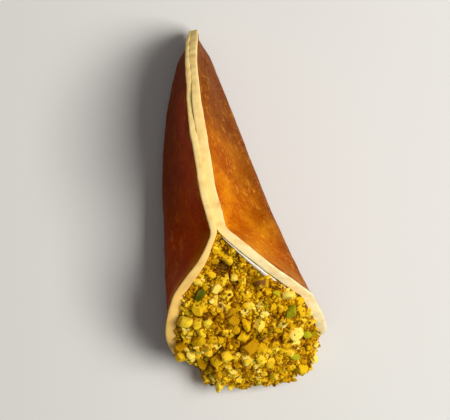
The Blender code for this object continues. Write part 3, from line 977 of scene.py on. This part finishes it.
def joined_crumbs(name, crumbs):
    """One mesh of crumbs, each given as its kernel, matrix, tone, skin share and green share."""
    points, faces = [], []
    values = {"tone": [], "skin": [], "green": []}
    for (own_points, own_faces, own_skin), matrix, tone, skin, green in crumbs:
        start = len(points)
        points.extend(matrix @ point for point in own_points)
        faces.extend([start + index for index in face] for face in own_faces)
        values["tone"].extend([tone] * len(own_points))
        values["skin"].extend(skin * share for share in own_skin)
        values["green"].extend([green] * len(own_points))
    mesh = bpy.data.meshes.new(name)
    mesh.from_pydata(points, [], faces)
    for layer, numbers in values.items():
        mesh.attributes.new(layer, "FLOAT", "POINT").data.foreach_set("value", numbers)
    mesh.shade_smooth()
    mesh.set_sharp_from_angle(angle=SHARP_EDGE)
    piece = bpy.data.objects.new(name, mesh)
    bpy.context.scene.collection.objects.link(piece)
    return piece


def surface_tree(pieces):
    """Search tree over the faces of several pieces."""
    points, faces = [], []
    for piece in pieces:
        start = len(points)
        points.extend(vertex.co.copy() for vertex in piece.data.vertices)
        faces.extend([start + index for index in face.vertices] for face in piece.data.polygons)
    return BVHTree.FromPolygons(points, faces)


PANCAKE_TREE = surface_tree([pancake])
OPEN_TILT = 0.8


def is_open(face):
    """Whether a face of the crust looks out of the mouth, past the pancake."""
    outward = (face.normal + OPEN_TILT * MOUTH_OUT).normalized()
    return PANCAKE_TREE.ray_cast(face.center, outward)[0] is None


OPEN_FACES = [face for face in ground_nuts.data.polygons if is_open(face)]
OPEN_AREAS = [face.area for face in OPEN_FACES]

# Each has its place across and along the cone, its radius and its tone.
PALEST = [
    ((0.0018, 0.0552), 0.0013, 0.95),
    ((0.0035, 0.0560), 0.0012, 0.86),
    ((-0.0006, 0.0588), 0.0014, 0.86),
    ((0.0007, 0.0607), 0.0015, 0.82),
    ((-0.0009, 0.0622), 0.0012, 0.80),
    ((0.0040, 0.0617), 0.0013, 0.88),
    ((0.0053, 0.0662), 0.0017, 0.92),
    ((-0.0056, 0.0640), 0.0014, 0.88),
    ((-0.0034, 0.0648), 0.0015, 0.84),
    ((-0.0070, 0.0690), 0.0014, 0.82),
    ((-0.0025, 0.0722), 0.0015, 0.82),
    ((0.0045, 0.0738), 0.0016, 0.86),
    ((0.0062, 0.0752), 0.0014, 0.80),
]
GREENEST = [
    ((-0.0064, 0.0581), 0.0015, 0.10),
    ((-0.0052, 0.0592), 0.0010, 0.30),
    ((0.0122, 0.0648), 0.0014, 0.65),
    ((-0.0108, 0.0712), 0.0013, 0.80),
    ((0.0150, 0.0705), 0.0012, 0.85),
    ((0.0118, 0.0750), 0.0011, 0.90),
]
CHOSEN_SINK = 0.27
DROP_HEIGHT = 0.1


def chosen_crumbs(ground):
    """The largest chunks, which catch the eye: the palest and the greenest, dropped from above."""
    for chosen, green in ((PALEST, 0.0), (GREENEST, 1.0)):
        for (x, station), radius, tone in chosen:
            above = Vector((x, -station, DROP_HEIGHT)) + SEAT
            found, normal, _, _ = ground.ray_cast(above, Vector((0.0, 0.0, -1.0)))
            if found is not None:
                yield found, normal, radius, CHOSEN_SINK, tone, 0.0, green


SEARCH_HEIGHT, SEARCH_LENGTH = 0.004, 0.006
SIZE_POWER = 1.5
TONE_PATCH, TONE_PATCH_SIZE = 0.62, 0.0036
TONE_SPREAD = 0.16
SKIN_CHANCE = 0.2
GREEN_CHANCE = 0.06
GREEN_SHARES = (0.4, 1.0)
SINK_SPREAD = (0.7, 1.3)
FRONT_STATIONS = (0.0725, 0.0765)
FRONT_SHRINK, FRONT_SINK = 0.2, 0.3
# Painted shade: how much darker the crumbs in the hollow below the pinch are.
POCKET_PAINTED_SHADE = 1.4
POCKET_LARGEST = 0.0002


def random_crumbs(chance, count, sizes, sink, settling, tone, ground):
    """Random crumbs over the open crust. sink is their buried share. At the front of the heap they
    sit deeper and are smaller, because large ones have dropped off. settling is the height over the
    crust at which they grow rare, because small ones end up in the gaps between large ones."""
    for face in chance.choices(OPEN_FACES, OPEN_AREAS, k=count):
        radius = sizes[0] + (sizes[1] - sizes[0]) * chance.random() ** SIZE_POWER
        above = face.center + face.normal * SEARCH_HEIGHT
        found, _, _, distance = ground.ray_cast(above, -face.normal, SEARCH_LENGTH)
        if found is None or chance.random() > math.exp((distance - SEARCH_HEIGHT) / settling):
            continue
        pocket = in_pocket(found - SEAT)
        own_tone = chance.gauss(tone + TONE_PATCH * noise.noise(found / TONE_PATCH_SIZE), TONE_SPREAD)
        # Painted shade: crumbs in the hollow below the pinch get darker tones.
        own_tone = min(max(own_tone - POCKET_PAINTED_SHADE * pocket, 0.0), 1.0)
        skin = float(chance.random() < SKIN_CHANCE)
        green = chance.uniform(*GREEN_SHARES) if chance.random() < GREEN_CHANCE else 0.0
        front = smooth_step(SEAT.y - found.y, *FRONT_STATIONS)
        radius *= 1.0 - FRONT_SHRINK * front
        own_sink = sink * chance.uniform(*SINK_SPREAD) * (1.0 + FRONT_SINK * front)
        if radius * pocket <= POCKET_LARGEST:
            yield found, face.normal, radius, own_sink, own_tone, skin, green


LEAST_RADIUS = 0.00014
LIP_OVERLAP_MOST = 0.0002
FLOOR_CLEARANCE = 0.0001
FRONT_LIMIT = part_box("pistachio_coat")[0].y - 0.0022
REACH_DOWN, REACH_FORWARD = 0.9, 1.1
CELL = 0.0050
STRETCHES = ((0.9, 1.3), (0.75, 1.0), (0.65, 0.95))


def settle(chance, kernels, candidates, spacing):
    """Crumbs at the candidates that find room. spacing keeps their centres apart."""
    crumbs, taken = [], {}
    for found, normal, radius, sink, tone, skin, green in candidates:
        place = found + normal * radius * (1.0 - 2.0 * sink)
        radius = min(radius, PANCAKE_TREE.find_nearest(place)[3] + LIP_OVERLAP_MOST)
        if radius < LEAST_RADIUS or place.z - REACH_DOWN * radius < FLOOR_CLEARANCE:
            continue
        if place.y - REACH_FORWARD * radius < FRONT_LIMIT:
            continue
        own_cell = [int(c // CELL) for c in place]
        cells = itertools.product(*((c - 1, c, c + 1) for c in own_cell))
        near = [other for cell in cells for other in taken.get(cell, ())]
        if any((place - other).length < spacing * (radius + reach) for other, reach in near):
            continue
        taken.setdefault(tuple(own_cell), []).append((place, radius))
        spin = Quaternion(random_direction(chance), chance.uniform(0.0, math.tau))
        stretch = Vector([chance.uniform(*limits) for limits in STRETCHES])
        matrix = Matrix.LocRotScale(place, spin, stretch * radius)
        crumbs.append((chance.choice(kernels), matrix, tone, skin, green))
    return crumbs


SEED = 11
CHUNK_SHAPES, CRUMB_SHAPES, GRAIN_SHAPES = 18, 14, 10

chance = random.Random(SEED)
CHUNKS = [broken_kernel(chance, subdivisions=2, cuts=7) for _ in range(CHUNK_SHAPES)]
CRUMBS = [broken_kernel(chance, subdivisions=1, cuts=4) for _ in range(CRUMB_SHAPES)]
GRAINS = [broken_kernel(chance, subdivisions=1, cuts=2) for _ in range(GRAIN_SHAPES)]

nut_crumb = nut_material("broken_nuts", loose=True)
heap = [ground_nuts]
for name, kernels, count, sizes, spacing, sink, settling, tone in (
    ("pistachio_chunks", CHUNKS, 2200, (0.0010, 0.0022), 0.78, 0.40, 0.01, 0.70),
    ("pistachio_crumbs", CRUMBS, 4400, (0.00045, 0.0009), 0.66, 0.38, 0.0005, 0.53),
    ("pistachio_grains", GRAINS, 14000, (0.00016, 0.00040), 0.5, 0.35, 0.0004, 0.42),
):
    ground = surface_tree(heap)
    candidates = list(chosen_crumbs(ground)) if kernels is CHUNKS else []
    candidates += random_crumbs(chance, count, sizes, sink, settling, tone, ground)
    piece = joined_crumbs(name, settle(chance, kernels, candidates, spacing))
    piece.data.materials.append(nut_crumb)
    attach(piece, "root")
    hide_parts("pistachio_coat")
    heap.append(piece)

# ---------------------------------------------------------------- Table and light
# A plain pale table top under soft studio light: a large lamp from the right, so that the left
# flank falls in shade, a weak one from above, and a faint even glow all round.

FLOOR_HALF_SIZE = 1.5
LAMP_TARGET = Vector((0.0, 0.0, 0.01))
GLOW = 0.11

floor_shape = bmesh.new()
bmesh.ops.create_grid(floor_shape, x_segments=1, y_segments=1, size=FLOOR_HALF_SIZE)
floor_mesh = bpy.data.meshes.new("table_top")
floor_shape.to_mesh(floor_mesh)
floor_shape.free()
floor = bpy.data.objects.new("table_top", floor_mesh)
bpy.context.scene.collection.objects.link(floor)
material, tree, shader = new_material("pale_table", roughness=0.8)
shader.inputs["Base Color"].default_value = tint(226, 224, 220)
floor.data.materials.append(material)
floor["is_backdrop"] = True


def area_lamp(name, place, size, power, colour):
    """A square soft lamp that points at the qatayef."""
    data = bpy.data.lights.new(name, "AREA")
    data.size = size
    data.energy = power
    data.color = colour
    lamp = bpy.data.objects.new(name, data)
    lamp.location = place
    lamp.rotation_euler = (LAMP_TARGET - place).to_track_quat("-Z", "Y").to_euler()
    bpy.context.scene.collection.objects.link(lamp)


area_lamp("key_lamp", Vector((0.32, -0.06, 0.47)), size=0.30, power=3.45, colour=(1.0, 0.99, 0.96))
area_lamp("top_lamp", Vector((0.02, 0.1, 0.6)), size=0.5, power=0.25, colour=(1.0, 1.0, 1.0))

world = bpy.data.worlds.new("studio")
world.use_nodes = True
background = world.node_tree.nodes["Background"]
fill(world.node_tree, background, {"Color": tint(255, 255, 255), "Strength": GLOW})
bpy.context.scene.world = world
bpy.context.scene.view_settings.view_transform = "Standard"

# ---------------------------------------------------------------- Camera
# A camera on a copy stand looks straight down from half a metre. It is turned so that the tip
# points up and a little to the left, and its lens is long enough for the qatayef to fill the view.

CAMERA_HEIGHT = 0.50
CAMERA_TURN = math.radians(10.0)
FRAME_FILL = 0.91
MOUTH_WIDTH_SHARE = 0.5
IMAGE_ASPECT = 450.0 / 420.0
SENSOR_WIDTH = 0.036
MILLIMETRES = 1000.0

low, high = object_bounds()
centre = (low + high) / 2.0
width, length, _ = high - low
shown_height = length * math.cos(CAMERA_TURN) + width * math.sin(CAMERA_TURN) * MOUTH_WIDTH_SHARE
shown_height /= FRAME_FILL
camera_data = bpy.data.cameras.new("camera")
camera_data.sensor_width = SENSOR_WIDTH * MILLIMETRES
distance = CAMERA_HEIGHT - centre.z
camera_data.lens = SENSOR_WIDTH * MILLIMETRES * distance / (shown_height * IMAGE_ASPECT)
camera = bpy.data.objects.new("camera", camera_data)
camera.location = Vector((centre.x, centre.y, CAMERA_HEIGHT))
camera.rotation_euler = (0.0, 0.0, -CAMERA_TURN)
bpy.context.scene.collection.objects.link(camera)
bpy.context.scene.camera = camera
